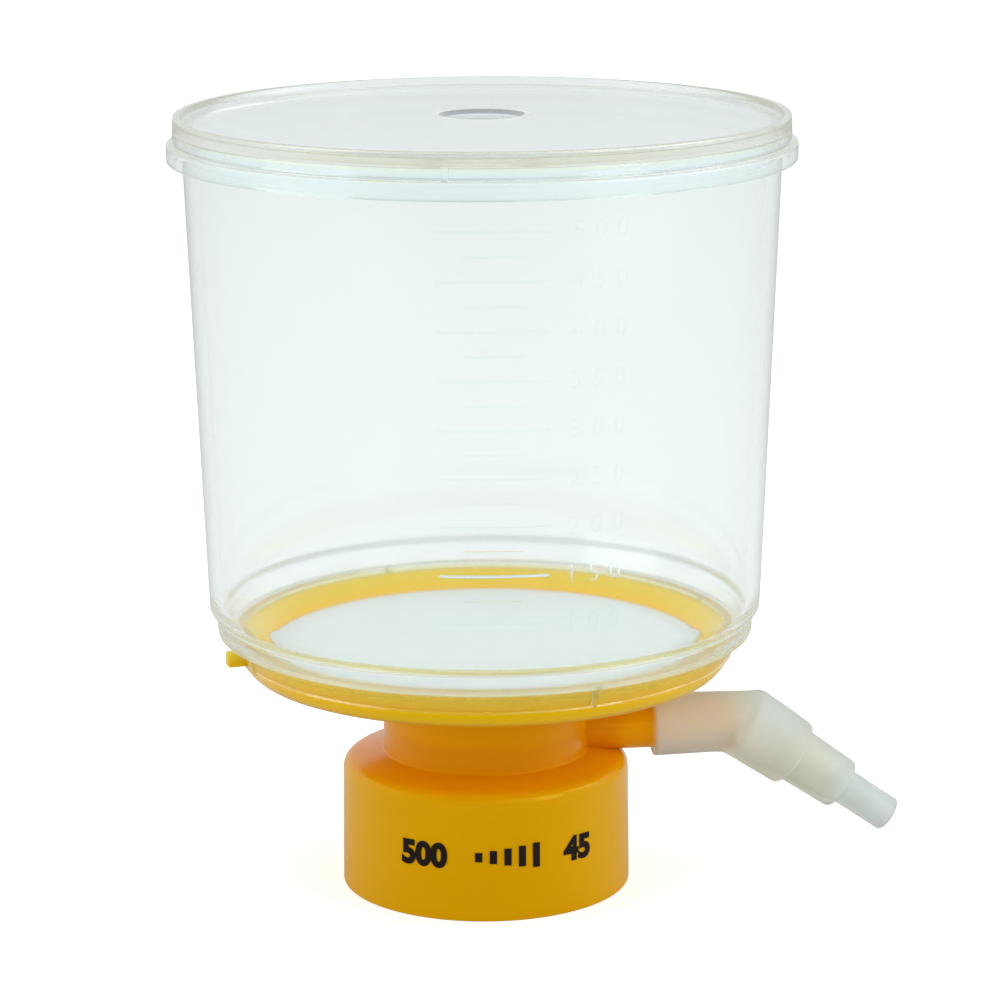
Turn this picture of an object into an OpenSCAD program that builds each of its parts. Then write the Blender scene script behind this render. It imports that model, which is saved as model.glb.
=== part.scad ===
// Bottle-top vacuum filter: a clear cup with a lift-off lid, welded to a one-piece base that
// carries the filter membrane, the neck, the vacuum port and the screw collar for a bottle.
// The origin is the centre of the collar's open foot, +Z is up, and the port points along +X.

/* [Collar] */
// Inside diameter of the bottle socket, at the root of its thread
socket_d = 45.6; // [38:0.1:56]
// Wall of the collar at its foot
collar_wall = 1.5; // [1.2:0.1:3]
// Radius lost by the collar's side between its foot and its top
collar_draft = 0.2; // [0:0.05:0.4]
// Height of the collar's side
collar_h = 21.4; // [17.8:0.1:26]
// Rounding of the collar's top edge
collar_round = 1; // [0.4:0.1:1.5]
// Rise of the shoulder from the collar's edge to the neck
shoulder_rise = 1.5; // [0.5:0.1:2]
// Thickness of the web over the socket
web_t = 2; // [1.6:0.1:2.5]

/* [Bottle seal] */
// Thickness of the sealing ring
seal_t = 1.8; // [1:0.1:2.5]
// Radial gap between the ring and the groove around it
seal_gap = 0.3; // [0.1:0.05:0.5]
// How far the ring's hole stands clear of the neck's bore
seal_clear = 0.35; // [0.1:0.05:1]
// Depth of the relief groove over the thread, which the ring sits in
relief_depth = 0.4; // [0.3:0.05:0.6]

/* [Neck] */
// Outside diameter of the neck
neck_d = 34.5; // [28:0.1:42]
// Wall of the neck
neck_wall = 2.1; // [1.5:0.1:2.6]
// Height from the collar's top edge to the foot of the dish
neck_h = 16.4; // [14.4:0.1:24]
// Outside diameter of the drain nozzle
nozzle_d = 10; // [7:0.1:12]
// Wall of the drain nozzle
nozzle_wall = 1.3; // [0.8:0.1:1.8]
// Length of the drain nozzle below the foot of the dish
nozzle_len = 14; // [8:0.1:14.4]

/* [Dish] */
// Widest diameter of the dish's rim
rim_d = 82.6; // [68:0.1:100]
// How far the foot of the rim lies inside its widest line
rim_tuck = 1.95; // [1:0.05:2.4]
// Height of the membrane seat above the foot of the dish
seat_h = 3; // [2.8:0.1:4]
// Height of the rim's top above the membrane seat
lip_rise = 3; // [2:0.1:4]
// Width of the flat top of the rim
lip_w = 1.3; // [1:0.05:1.8]
// How far the rim's inside slope runs in, from its top to the seat
lip_slope = 3; // [2:0.1:4]
// Thickness of the dish's floor
floor_t = 1.6; // [1.2:0.1:1.8]
// How far the floor falls towards the drain
floor_fall = 1.2; // [0.6:0.1:1.6]
// Width of the flat land that the membrane is sealed to
land_w = 2; // [1:0.1:3]
// Thickness of each support ring under the membrane
ring_w = 0.9; // [0.6:0.1:1.4]
// Distance from one support ring to the next
ring_pitch = 4.5; // [3.5:0.1:7]
// Number of drain channels cut through the support rings
channels = 8; // [4:1:12]
// Width of each drain channel
channel_w = 2; // [1:0.1:3]

/* [Membrane] */
// Thickness of the filter membrane
membrane_t = 0.2; // [0.1:0.05:0.4]
// Radial gap around the membrane
membrane_gap = 0.2; // [0.1:0.05:0.5]

/* [Cup] */
// How far the cup's lower band stands out from the widest line of the rim
band_step = 3.4; // [3:0.1:5]
// Height of the cup's lower band
band_h = 4.4; // [3.6:0.1:7]
// How far the main wall steps out over the band
shoulder_step = 1.3; // [0.8:0.1:1.6]
// Height of the sloped step between the band and the main wall
shoulder_h = 1; // [0.6:0.1:1.4]
// How far the main wall opens outwards, from its foot to its lip
cup_flare = 3.05; // [0:0.05:5]
// Height of the main wall, from the shoulder to the lip
cup_h = 79.5; // [60:0.1:120]
// Wall of the cup
cup_wall = 2; // [1.5:0.1:2.4]
// Thickness of the ledge that rests on the rim, at its inner edge
ledge_t = 0.7; // [0.6:0.05:1.6]
// Thickness of the skirt that closes over the rim
skirt_t = 1; // [0.8:0.05:1.3]
// How far the skirt's foot lies inside its top
skirt_tuck = 1.1; // [0.6:0.05:1.4]
// Gap in the weld between the skirt and the rim
weld_gap = 0.1; // [0.05:0.05:0.2]
// Number of small locating ribs around the skirt
skirt_ribs = 4; // [2:1:8]
// Turn of the first locating rib from the port
rib_turn = 18; // [0:1:25]

/* [Lid] */
// Gap between the lid's wall and the cup's lip
lid_gap = 0.3; // [0.2:0.05:0.6]
// Wall of the lid
lid_wall = 1.1; // [0.9:0.05:1.5]
// Thickness of the lid's plate
plate_t = 1.3; // [1:0.1:2]
// How far the middle of the plate stands over its edge
plate_crown = 0.8; // [0.2:0.1:1]
// Height of the crest above the plate
crest_h = 1.2; // [0.6:0.1:2]
// Width of the flat top of the crest
crest_w = 0.5; // [0.3:0.05:0.7]
// Depth of the lid's wall below its plate
lid_drop = 4.9; // [4.2:0.1:9]
// Height of the wider hem along the lid's lower edge
hem_h = 2.9; // [2:0.1:3.4]
// How far the hem stands out from the wall
hem_step = 1; // [0.6:0.05:1.2]
// Diameter of the dished gate well in the middle of the plate
well_d = 14.3; // [8:0.1:18]
// Depth of the gate well
well_depth = 1.05; // [0.5:0.05:1.1]
// Turn of the index rib on the lid's wall from the port
index_turn = -103; // [-180:1:180]

/* [Vacuum port] */
// Height of the port's axis above the collar's top edge
port_rise = 4.1; // [4:0.1:8]
// Outside diameter of the port
port_d = 7.8; // [7:0.1:9.4]
// Bore of the port
port_bore = 5; // [3.5:0.1:5.4]
// How far the port's end stands out past the widest line of the rim
port_out = 1.7; // [1:0.1:6]
// Length of the air filter plug in the port
plug_len = 6; // [3:0.1:10]
// Distance of the plug from the port's end
plug_inset = 2; // [1:0.1:4]
// Radial gap around the plug
plug_gap = 0.05; // [0.03:0.01:0.1]

/* [Hose connector] */
// Radial gap between the port and the connector that turns on it
swivel_gap = 0.05; // [0.03:0.01:0.09]
// Wall of the connector's sleeve
sleeve_wall = 1.4; // [1.1:0.05:1.6]
// Radius lost by the sleeve between its mouth and the bend
sleeve_draft = 0.25; // [0:0.05:0.4]
// Distance from the collar's side to the sleeve's mouth
sleeve_clear = 4.3; // [2:0.1:7]
// Distance from the port's end to the bend
bend_gap = 1.2; // [1:0.1:3]
// Angle of the bend
bend_angle = 35; // [28:1:42]
// Distance from the bend to the end of the first stage
stage1_end = 10.7; // [9:0.1:14]
// Length of the second stage
stage2_len = 10.3; // [7:0.1:13]
// Length of the tip stage
tip_len = 10.1; // [7:0.1:12]
// Diameter of the tip that a hose is pushed over
tip_d = 6.1; // [5.6:0.1:7]
// Wall of the hollow arm
arm_wall = 1.5; // [1:0.1:1.7]
// Radius lost along each tapered stage
stage_draft = 0.3; // [0:0.05:0.4]
// Rounding of the shoulder of each stage
stage_round = 0.9; // [0.4:0.1:1]

/* [Hidden] */
$fn = 120;
arc_steps = 6;      // facets along a rounded corner
bite = 0.4;         // how deep a rib or ring roots in the wall that carries it
past = 1;           // how far a cut runs past the face that it opens
edge = 0.3;         // size of the broken edges on mouldings

// Levels, from the collar's foot upwards
z_web = collar_h - web_t;
z_relief = z_web - seal_t - 0.3;
z_neck_foot = collar_h + shoulder_rise;
z_port = collar_h + port_rise;
z_dish = collar_h + neck_h;
z_floor = z_dish + floor_t;
z_seat = z_dish + seat_h;
z_lip = z_seat + lip_rise;
z_skirt = z_seat + 0.05;
z_band = z_lip + 0.4;
z_shoulder = z_band + band_h;
z_mouth = z_shoulder + cup_h;
z_plate = z_mouth + plate_t;
z_hem = z_mouth - lid_drop;
z_hem_top = z_hem + hem_h;

// Radii of the base, from the collar to the drain
socket_r = socket_d / 2;
relief_r = socket_r + relief_depth;
collar_r = socket_r + collar_wall;
collar_top_r = collar_r - collar_draft;
neck_r = neck_d / 2;
neck_bore_r = neck_r - neck_wall;
rim_r = rim_d / 2;
rim_foot_r = rim_r - rim_tuck;
rim_foot_w = 3;
lip_r = rim_r + 0.2;
lip_foot_r = lip_r - skirt_tuck;
lip_in_r = lip_r - lip_w;
seat_r = lip_in_r - lip_slope;
land_r = seat_r - land_w;
nozzle_r = nozzle_d / 2;
drain_r = nozzle_r - nozzle_wall;
floor_slope = floor_fall / (land_r - drain_r);

// Radii of the cup and the lid
band_r = rim_r + band_step;
band_draft = 0.15;
cup_foot_r = band_r + shoulder_step;
cup_top_r = cup_foot_r + cup_flare;
ledge_in_r = lip_in_r + 0.5;
foot_slope_h = 1.5;  // how far the slope of the cup's inner foot runs up past the shoulder
skirt_in_r = lip_r + weld_gap;
lid_in_r = cup_top_r + lid_gap;
lid_r = lid_in_r + lid_wall;
lid_draft = 0.15;
crest_round = 0.6;
crest_slope = 0.6;
hem_r = lid_r + hem_step;
hem_in_r = lid_in_r + hem_step * 0.8;
hem_round = 0.5;
well_r = well_d / 2;
well_power = 8;      // how steeply the well's side drops to its flat bottom
bulge_r = well_r * 1.15;
bulge_depth = well_depth * 0.7;
bulge_power = 3;
dish_shares = [0.3, 0.6, 0.75, 0.85, 0.92, 0.97, 1];  // points from a dish's middle to its rim
crown_r = cup_top_r - cup_wall;
crown_shares = [0.3:0.1:1];  // points from the crown's middle to its edge

// The lug on the rim, and the small ribs on the skirt and the lid
lug_turn = 191;
lug_w = 2.4;
lug_h = 2.4;
lug_out = 4.2;
rib_w = 1.1;
rib_out = 0.4;

// Sizes along the port and the connector
port_r = port_d / 2;
port_reach = rim_r + port_out;
sleeve_bore_r = port_r + swivel_gap;
sleeve_r = sleeve_bore_r + sleeve_wall;
sleeve_x = collar_r + sleeve_clear;
bend_x = port_reach + bend_gap;
bend_r = sleeve_r - sleeve_draft;
bend_bore_r = sleeve_bore_r + 0.15;
bend_step = 0.1;
arm_r = bend_r / cos(bend_angle) + bend_step;
arm_root = 1.2;
tip_r = tip_d / 2;
stage2_r = tip_r + 0.55 * (arm_r - tip_r);
stage2_end = stage1_end + stage2_len;
tip_end = stage2_end + tip_len;
tip_round = 0.4;

// Height of the dish's floor at radius r
function floor_z(r) = z_floor - floor_slope * (land_r - r);

// Points of a round corner: centre, radius, first and last angle
function corner(cx, cz, r, a, b) =
    [for (i = [0:arc_steps]) let (t = a + (b - a) * i / arc_steps) [cx + r * cos(t), cz + r * sin(t)]];

// Height at radius r of a face of the lid's crowned plate that lies at level z over the cup's lip
function crowned(z, r) = z + plate_crown * (1 - pow(r / crown_r, 2));

// Points of a face of the lid's plate: its dish of radius r and depth d, and the crown round it
function plate_face(z, r, d, power) = concat(
    [for (share = dish_shares) [r * share, crowned(z, r) - d * (1 - pow(share, power))]],
    [for (share = crown_shares) [crown_r * share, crowned(z, crown_r * share)]]);

// A cylinder or cone along +X from x1 to x2, on the port's axis
module along_port(x1, x2, r1, r2) {
    translate([x1, 0, z_port]) rotate([0, 90, 0]) cylinder(h = x2 - x1, r1 = r1, r2 = r2);
}

// Collar, neck, dish, rim and drain nozzle in one section
module base_shell() {
    rotate_extrude() polygon(concat(
        [[socket_r, 0], [collar_r, 0]],
        corner(collar_top_r - collar_round, collar_h - collar_round, collar_round, 0, 90),
        [[neck_r, z_neck_foot], [neck_r, floor_z(neck_r) - floor_t]],
        [[rim_foot_r - rim_foot_w, z_dish], [rim_foot_r, z_dish]],
        [[rim_foot_r + rim_tuck * 0.5, z_dish + seat_h * 0.33]],
        [[rim_foot_r + rim_tuck * 0.85, z_dish + seat_h * 0.67]],
        [[rim_r, z_seat - edge / 2], [lip_foot_r, z_seat], [lip_r, z_lip], [lip_in_r, z_lip]],
        [[seat_r, z_seat + membrane_t], [seat_r, z_seat], [land_r, z_seat], [land_r, z_floor]],
        [[drain_r, floor_z(drain_r)], [drain_r, z_dish - nozzle_len], [nozzle_r, z_dish - nozzle_len]],
        [[nozzle_r, floor_z(nozzle_r) - floor_t], [neck_bore_r, floor_z(neck_bore_r) - floor_t]],
        [[neck_bore_r, z_web], [relief_r, z_web], [relief_r, z_relief], [socket_r, z_relief]]
    ));
}

// Rings that hold the membrane level, with channels that lead to the drain
module support_rings() {
    difference() {
        for (r = [drain_r + ring_pitch : ring_pitch : land_r - ring_w])
            rotate_extrude() polygon([
                [r - ring_w / 2, floor_z(r) - bite], [r + ring_w / 2, floor_z(r) - bite],
                [r + ring_w / 2, z_seat], [r - ring_w / 2, z_seat]
            ]);
        for (i = [0:channels - 1])
            rotate([0, 0, (i + 0.5) * 360 / channels])
                translate([drain_r, -channel_w / 2, z_floor]) cube([land_r, channel_w, seat_h]);
    }
}

// Small moulded lug that stands out through the notch in the cup's skirt
module rim_lug() {
    rotate([0, 0, lug_turn])
        translate([lip_foot_r - 2 * bite, -lug_w / 2, z_seat]) cube([lug_out + 2 * bite, lug_w, lug_h]);
}

module base() {
    color([0.95, 0.70, 0.08])
        difference() {
            union() {
                base_shell();
                support_rings();
                rim_lug();
                along_port(neck_bore_r + bite, port_reach, port_r, port_r);
            }
            along_port(neck_bore_r - past, port_reach + past, port_bore / 2, port_bore / 2);
        }
}

module membrane() {
    color([0.97, 0.97, 0.96])
        translate([0, 0, z_seat]) cylinder(h = membrane_t, r = seat_r - membrane_gap);
}

// Cup wall, shoulder, band, ledge and skirt in one section
module cup_shell() {
    band_top_r = band_r + band_draft;
    z_step = z_shoulder - shoulder_h;
    rotate_extrude() polygon(concat(
        [[ledge_in_r, z_lip], [skirt_in_r, z_lip], [skirt_in_r - skirt_tuck, z_skirt]],
        [[skirt_in_r - skirt_tuck + skirt_t, z_skirt], [skirt_in_r + skirt_t, z_band]],
        [[band_r - edge, z_band], [band_r, z_band + edge], [band_top_r, z_step]],
        [[cup_foot_r - edge / 2, z_shoulder - edge / 2], [cup_foot_r, z_shoulder + edge]],
        corner(cup_top_r - edge, z_mouth - edge, edge, 0, 90),
        [[cup_top_r - cup_wall + edge, z_mouth], [cup_top_r - cup_wall, z_mouth - edge]],
        [[cup_foot_r - cup_wall, z_shoulder + foot_slope_h]],
        [[band_r - cup_wall + edge / 2, z_lip + ledge_t], [ledge_in_r, z_lip + ledge_t]]
    ));
}

module cup() {
    color([0.86, 0.92, 0.93, 0.4])
        difference() {
            union() {
                cup_shell();
                for (i = [0:skirt_ribs - 1])
                    rotate([0, 0, rib_turn + i * 360 / skirt_ribs])
                        translate([skirt_in_r + skirt_t - 2 * bite, -rib_w / 2, z_skirt])
                            cube([rib_out + 2 * bite, rib_w, z_band - z_skirt + bite]);
            }
            rotate([0, 0, lug_turn])
                translate([lip_foot_r - past, -lug_w / 2 - weld_gap, z_skirt - past])
                    cube([lug_out + past, lug_w + 2 * weld_gap, lug_h + weld_gap + past]);
        }
}

// Plate with its gate well, crest, wall and hem of the lid in one section
module lid_shell() {
    crest_r = lid_r - lid_draft - crest_round;
    over = plate_face(z_plate, well_r, well_depth, well_power);
    under = plate_face(z_mouth, bulge_r, bulge_depth, bulge_power);
    rotate_extrude() polygon(concat(
        [[0, under[0][1]]],
        under,
        [[lid_in_r, z_mouth], [lid_in_r, z_hem_top + edge], [hem_in_r, z_hem_top - edge]],
        [[hem_in_r, z_hem], [hem_r - edge, z_hem], [hem_r, z_hem + edge]],
        corner(hem_r - hem_round, z_hem_top - hem_round, hem_round, 0, 90),
        [[lid_r, z_hem_top + edge / 2]],
        corner(crest_r, z_plate + crest_h - crest_round, crest_round, 0, 90),
        [[crest_r - crest_w, z_plate + crest_h], [crest_r - crest_w - crest_slope, z_plate]],
        [for (i = [len(over) - 1:-1:0]) over[i]],
        [[0, over[0][1]]]
    ));
}

module lid() {
    color([0.86, 0.92, 0.93, 0.4]) {
        lid_shell();
        rotate([0, 0, index_turn])
            translate([lid_r - bite, -rib_w / 2, z_hem_top - edge])
                cube([rib_out + bite, rib_w, plate_t + crest_h]);
    }
}

module bottle_seal() {
    color([0.93, 0.93, 0.90])
        translate([0, 0, z_web - seal_t])
            difference() {
                cylinder(h = seal_t, r = relief_r - seal_gap);
                translate([0, 0, -past]) cylinder(h = seal_t + 2 * past, r = neck_bore_r + seal_clear);
            }
}

module port_plug() {
    plug_end = port_reach - plug_inset;
    color([0.96, 0.96, 0.94])
        along_port(plug_end - plug_len, plug_end, port_bore / 2 - plug_gap, port_bore / 2 - plug_gap);
}

// Outside of the stepped arm, from the bend to the tip
module arm_body() {
    shoulder1_r = arm_r - stage_draft - stage_round;
    shoulder2_r = stage2_r - stage_draft - stage_round;
    rotate_extrude() polygon(concat(
        [[0, -arm_root], [bend_r, -arm_root], [arm_r, 0]],
        corner(shoulder1_r, stage1_end - stage_round, stage_round, 0, 90),
        [[stage2_r, stage1_end]],
        corner(shoulder2_r, stage2_end - stage_round, stage_round, 0, 90),
        [[tip_r, stage2_end], [tip_r, tip_end - tip_round], [tip_r - tip_round, tip_end], [0, tip_end]]
    ));
}

// Hollow of the bend and the stepped arm, which narrows a wall's width before each stage does
module arm_bore() {
    r1 = arm_r - stage_draft - arm_wall;
    r2 = stage2_r - stage_draft - arm_wall;
    r3 = tip_r - arm_wall;
    sphere(r = bend_bore_r);
    rotate_extrude() polygon([
        [0, 0], [r1, 0], [r1, stage1_end - arm_wall - r1 + r2], [r2, stage1_end - arm_wall],
        [r2, stage2_end - arm_wall - r2 + r3], [r3, stage2_end - arm_wall],
        [r3, tip_end + past], [0, tip_end + past]
    ]);
}

module hose_connector() {
    color([0.90, 0.93, 0.90])
        difference() {
            union() {
                // The sleeve runs on to the top of the arm's first stage
                along_port(sleeve_x, bend_x + arm_r * sin(bend_angle), sleeve_r, bend_r);
                translate([bend_x, 0, z_port]) rotate([0, 90 + bend_angle, 0]) arm_body();
            }
            along_port(sleeve_x - past, bend_x, sleeve_bore_r, sleeve_bore_r);
            translate([bend_x, 0, z_port]) rotate([0, 90 + bend_angle, 0]) arm_bore();
        }
}

base();
membrane();
cup();
lid();
bottle_seal();
port_plug();
hose_connector();
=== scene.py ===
"""Looks of a bottle-top vacuum filter: clear cup and lid, yellow base, frosted elbow.

Sizes are dataclass fields in millimetres, and meshes are in metres. Heights and reaches that the
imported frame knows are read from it, so each piece lands on the solid that it stands for.
"""
import logging
import math
from dataclasses import dataclass
from enum import Enum
from typing import Sequence

import bmesh
import bpy
import numpy as np
from mathutils import Matrix, Vector


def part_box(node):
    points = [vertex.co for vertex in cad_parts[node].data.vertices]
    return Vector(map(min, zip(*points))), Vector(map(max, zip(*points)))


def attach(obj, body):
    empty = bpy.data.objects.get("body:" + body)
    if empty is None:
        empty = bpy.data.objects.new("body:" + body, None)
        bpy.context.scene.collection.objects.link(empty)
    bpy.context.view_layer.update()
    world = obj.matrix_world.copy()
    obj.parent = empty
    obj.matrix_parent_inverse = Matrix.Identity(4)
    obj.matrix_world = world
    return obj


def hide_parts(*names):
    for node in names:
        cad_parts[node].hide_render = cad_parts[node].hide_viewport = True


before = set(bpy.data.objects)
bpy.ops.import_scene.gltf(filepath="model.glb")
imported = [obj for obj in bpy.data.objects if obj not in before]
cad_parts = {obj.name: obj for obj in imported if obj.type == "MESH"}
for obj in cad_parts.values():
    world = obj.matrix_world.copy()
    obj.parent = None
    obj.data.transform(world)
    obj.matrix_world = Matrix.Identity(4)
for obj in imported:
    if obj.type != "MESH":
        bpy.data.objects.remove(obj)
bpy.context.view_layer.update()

LOG = logging.getLogger("filter_unit")
MM = 0.001
SIDES = 256  # facets around a large round piece
ROUND_STEPS = 5  # facets along a rounded edge
HOLD = 0.12  # mm from an edge to the ring that keeps the flat beside it flat
HAIR = 0.02  # mm between faces that touch, so that neither shows through the other
SHARP_ANGLE = math.radians(32)
FILTER = "filter"
CONNECTOR = "connector"

Socket = bpy.types.NodeSocket
Rings = np.ndarray
Colour = tuple[float, float, float, float]
WHITE: Colour = (1.0, 1.0, 1.0, 1.0)


# ---------------------------------------------------------------- measures from the frame


@dataclass(frozen=True)
class Extent:
    """The box of a CAD node at rest, in millimetres."""

    low: tuple[float, float, float]
    high: tuple[float, float, float]

    @classmethod
    def of(cls, node: str) -> "Extent":
        """Reads a node's box from the frame.

        Args:
            node: The CAD node's name.

        Returns:
            The node's lowest and highest corners.
        """
        low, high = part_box(node)
        return cls(tuple(v / MM for v in low), tuple(v / MM for v in high))


@dataclass(frozen=True)
class Corner:
    """One corner of a section: radius from the axis, height, and reach of its rounding, in mm."""

    r: float
    z: float
    soft: float = 0.15


# ---------------------------------------------------------------- skins over rings of points


def round_corners(rings: Rings, reaches: Sequence[float], closed: bool) -> Rings:
    """Rounds the corners between rings with short quadratic curves.

    Args:
        rings: Points as (ring, place round the ring, xyz), in mm.
        reaches: How far each ring's rounding reaches along its neighbours, in mm.
        closed: Whether the last ring joins the first.

    Returns:
        The rings with each rounded ring replaced by several.
    """
    count = len(rings)
    out: list[np.ndarray] = []
    for i, reach in enumerate(reaches):
        at_end = not closed and i in (0, count - 1)
        if reach <= 0 or at_end:
            out.append(rings[i])
            continue
        back = rings[i - 1] - rings[i]
        ahead = rings[(i + 1) % count] - rings[i]
        back_len = np.linalg.norm(back, axis=1, keepdims=True)
        ahead_len = np.linalg.norm(ahead, axis=1, keepdims=True)
        reach = min(reach, 0.48 * back_len.min(), 0.48 * ahead_len.min())
        start = back / back_len * reach
        end = ahead / ahead_len * reach
        for t in np.linspace(0.0, 1.0, ROUND_STEPS + 1):
            out.append(rings[i] + start * (1 - t) ** 2 + end * t**2)
    return np.array(out)


def hold_flats(rings: Rings, closed: bool, longest: float) -> Rings:
    """Adds rings near the ends of long stretches, so that smooth shading leaves them flat.

    Args:
        rings: Points as (ring, place round the ring, xyz), in mm.
        closed: Whether the last ring joins the first.
        longest: A stretch above this length is also divided evenly, in mm.

    Returns:
        The rings with the added ones in place.
    """
    out: list[np.ndarray] = []
    last = len(rings) if closed else len(rings) - 1
    for i in range(last):
        here, there = rings[i], rings[(i + 1) % len(rings)]
        out.append(here)
        length = np.linalg.norm(there - here, axis=1).min()
        if length < 5 * HOLD:
            continue
        share = HOLD / length
        parts = max(1, math.ceil(length / longest))
        stops = [share, *[n / parts for n in range(1, parts)], 1 - share]
        out.extend(here + (there - here) * stop for stop in stops)
    if not closed:
        out.append(rings[-1])
    return np.array(out)


def shade_mesh(mesh: bpy.types.Mesh) -> None:
    """Shades a mesh smooth, but for its sharp edges."""
    mesh.shade_smooth()
    mesh.set_sharp_from_angle(angle=SHARP_ANGLE)


def tidy_mesh(mesh: bpy.types.Mesh, turn_out: bool = True) -> None:
    """Closes seams and poles of a mesh, turns its faces outwards and sets its shading.

    Args:
        mesh: The mesh to change.
        turn_out: Whether to work the faces' directions out again.
    """
    work = bmesh.new()
    work.from_mesh(mesh)
    bmesh.ops.remove_doubles(work, verts=work.verts, dist=1e-7)
    bmesh.ops.dissolve_degenerate(work, edges=work.edges, dist=1e-7)
    if turn_out:
        bmesh.ops.recalc_face_normals(work, faces=work.faces)
    work.to_mesh(mesh)
    work.free()
    shade_mesh(mesh)


def new_object(name: str, data: bpy.types.ID) -> bpy.types.Object:
    """Puts a mesh, text, camera or lamp into the scene as an object at the origin."""
    piece = bpy.data.objects.new(name, data)
    bpy.context.scene.collection.objects.link(piece)
    return piece


def skin(name: str, rings: Rings, closed: bool = True) -> bpy.types.Object:
    """Makes a closed mesh over a stack of rings.

    Args:
        name: Name of the new object.
        rings: Points as (ring, place round the ring, xyz), in mm.
        closed: Whether the last ring joins the first. Otherwise both end rings are poles.

    Returns:
        The new object.
    """
    count, sides, _ = rings.shape
    faces = []
    for i in range(count if closed else count - 1):
        low, high = i * sides, ((i + 1) % count) * sides
        for k in range(sides):
            after = (k + 1) % sides
            faces.append((low + k, low + after, high + after, high + k))
    mesh = bpy.data.meshes.new(name)
    mesh.from_pydata((rings.reshape(-1, 3) * MM).tolist(), [], faces)
    tidy_mesh(mesh)
    return new_object(name, mesh)


def spin(name: str, section: Sequence[Corner], sides: int = SIDES, longest: float = 12.0) -> bpy.types.Object:
    """Turns a section round the Z axis into a closed mesh.

    Args:
        name: Name of the new object.
        section: The corners in order. It is closed, unless it starts and ends on the axis.
        sides: Facets around the axis.
        longest: Longest stretch left undivided, in mm.

    Returns:
        The new object.
    """
    closed = section[0].r > 0
    turn = np.linspace(0.0, math.tau, sides, endpoint=False)
    rings = np.array(
        [np.column_stack((c.r * np.cos(turn), c.r * np.sin(turn), np.full(sides, c.z))) for c in section]
    )
    rings = round_corners(rings, [c.soft for c in section], closed)
    return skin(name, hold_flats(rings, closed, longest), closed)


def rounded_bar(name: str, size: Sequence[float], place: Matrix, edge: float) -> bpy.types.Object:
    """Makes a small block with rounded edges.

    Args:
        name: Name of the new object.
        size: Its three sides, in mm.
        place: Where its centre goes, with the offset in mm.
        edge: Rounding of its edges, in mm.

    Returns:
        The new object.
    """
    work = bmesh.new()
    bmesh.ops.create_cube(work, size=1.0, matrix=Matrix.Diagonal((*size, 1.0)))
    if edge > 0:
        bmesh.ops.bevel(work, geom=work.edges[:], offset=edge, segments=3, affect="EDGES", profile=0.5)
    bmesh.ops.transform(work, matrix=place, verts=work.verts)
    bmesh.ops.scale(work, vec=(MM, MM, MM), verts=work.verts)
    mesh = bpy.data.meshes.new(name)
    work.to_mesh(mesh)
    work.free()
    shade_mesh(mesh)
    return new_object(name, mesh)


def baked(piece: bpy.types.Object) -> bpy.types.Mesh:
    """A new mesh that holds an object's evaluated shape."""
    graph = bpy.context.evaluated_depsgraph_get()
    return bpy.data.meshes.new_from_object(piece.evaluated_get(graph))


def settle(piece: bpy.types.Object) -> None:
    """Replaces a piece's mesh by its evaluated one and removes its modifiers."""
    done = baked(piece)
    piece.modifiers.clear()
    piece.data = done


def combine(piece: bpy.types.Object, tool: bpy.types.Object, operation: str) -> None:
    """Joins a tool to a piece or cuts it out of the piece, and removes the tool.

    Args:
        piece: The piece that changes.
        tool: The closed mesh that is added or taken away.
        operation: UNION or DIFFERENCE.
    """
    change = piece.modifiers.new("combine", "BOOLEAN")
    change.operation = operation
    change.solver = "EXACT"
    change.object = tool
    settle(piece)
    bpy.data.objects.remove(tool)
    tidy_mesh(piece.data, turn_out=False)


def ray_place(angle_deg: float, radius: float, height: float) -> Matrix:
    """Place of a small part on a round wall: X points outwards, in mm."""
    turn = Matrix.Rotation(math.radians(angle_deg), 4, "Z")
    return turn @ Matrix.Translation((radius, 0.0, height))


def port_z() -> float:
    """Height of the port's axis, in mm."""
    box = Extent.of("port_plug")
    return (box.low[2] + box.high[2]) / 2


def along_port(piece: bpy.types.Object, height: float) -> bpy.types.Object:
    """Lays a piece that was spun round the Z axis along X, at a height in mm."""
    lift = Matrix.Translation((0, 0, height * MM))
    piece.data.transform(lift @ Matrix.Rotation(math.radians(90), 4, "Y"))
    return piece


# ---------------------------------------------------------------- node trees


class Nodes:
    """A node tree under construction."""

    def __init__(self, tree: bpy.types.NodeTree) -> None:
        """Takes the tree that the nodes go into."""
        self.tree = tree

    def add(self, kind: str, inputs: dict | None = None, **settings: object) -> bpy.types.Node:
        """Adds a node.

        Args:
            kind: The node's type.
            inputs: Values or sockets for its inputs, by name or number.
            **settings: The node's own properties.

        Returns:
            The new node.
        """
        node = self.tree.nodes.new(kind)
        for key, value in settings.items():
            setattr(node, key, value)
        for key, value in (inputs or {}).items():
            if isinstance(value, Socket):
                self.tree.links.new(value, node.inputs[key])
            else:
                node.inputs[key].default_value = value
        return node

    def first(self, kind: str, inputs: dict | None = None, **settings: object) -> Socket:
        """Adds a node, as add does, and returns its first output."""
        return self.add(kind, inputs, **settings).outputs[0]

    def math(self, operation: str, *values: object) -> Socket:
        """Adds a Math node and returns its result."""
        return self.first("ShaderNodeMath", dict(enumerate(values)), operation=operation)

    def ramp(self, value: Socket, kind: str = "LINEAR", **limits: object) -> Socket:
        """Adds a Map Range node and returns its result.

        Args:
            value: What it maps.
            kind: Its interpolation.
            **limits: Any of from_min, from_max, to_min and to_max.

        Returns:
            The mapped value.
        """
        inputs = {"Value": value} | {key.replace("_", " ").title(): limit for key, limit in limits.items()}
        return self.first("ShaderNodeMapRange", inputs, interpolation_type=kind)


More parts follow.
